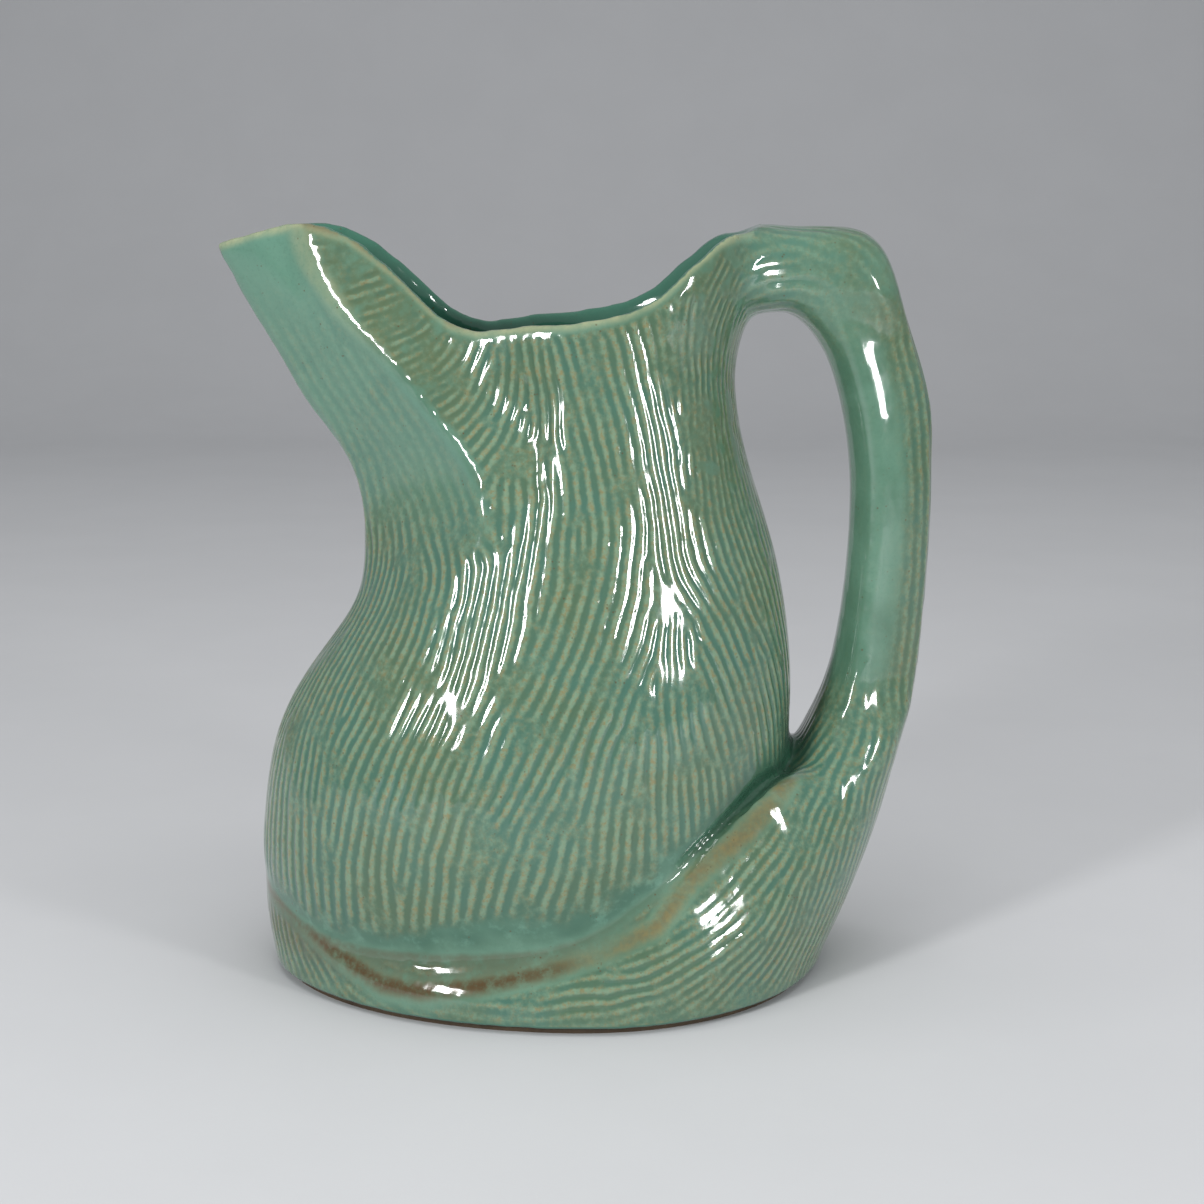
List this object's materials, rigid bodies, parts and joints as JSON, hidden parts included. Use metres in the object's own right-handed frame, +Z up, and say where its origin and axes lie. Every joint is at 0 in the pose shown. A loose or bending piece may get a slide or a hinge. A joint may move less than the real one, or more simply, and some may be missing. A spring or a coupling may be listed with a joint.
{
  "type": "water pitcher",
  "caption": "Glazed stoneware pitcher with a pinched gourd body, beaked pouring lip, combed surface and a strap handle that sweeps into a skirt round the base",
  "frame": {"origin": "on the table, under the middle of the pitcher's bounding box", "axes": "+Z is up, -X is the way the lip pours, +X is the handle's side, and Y = 0 is the mirror plane"},
  "size_m": [0.2271, 0.146, 0.242],
  "materials": {
    "sea_glaze": "glossy sea-green glaze breaking tan over combed ridges",
    "bare_clay": "dry buff clay, wiped bare of glaze"
  },
  "bodies": {
    "root": {"body_shell": "sea_glaze", "spout": "sea_glaze", "base_skirt": "sea_glaze", "handle": "sea_glaze", "vessel_floor": "sea_glaze", "foot_ring": "bare_clay"}
  },
  "joints": []
}
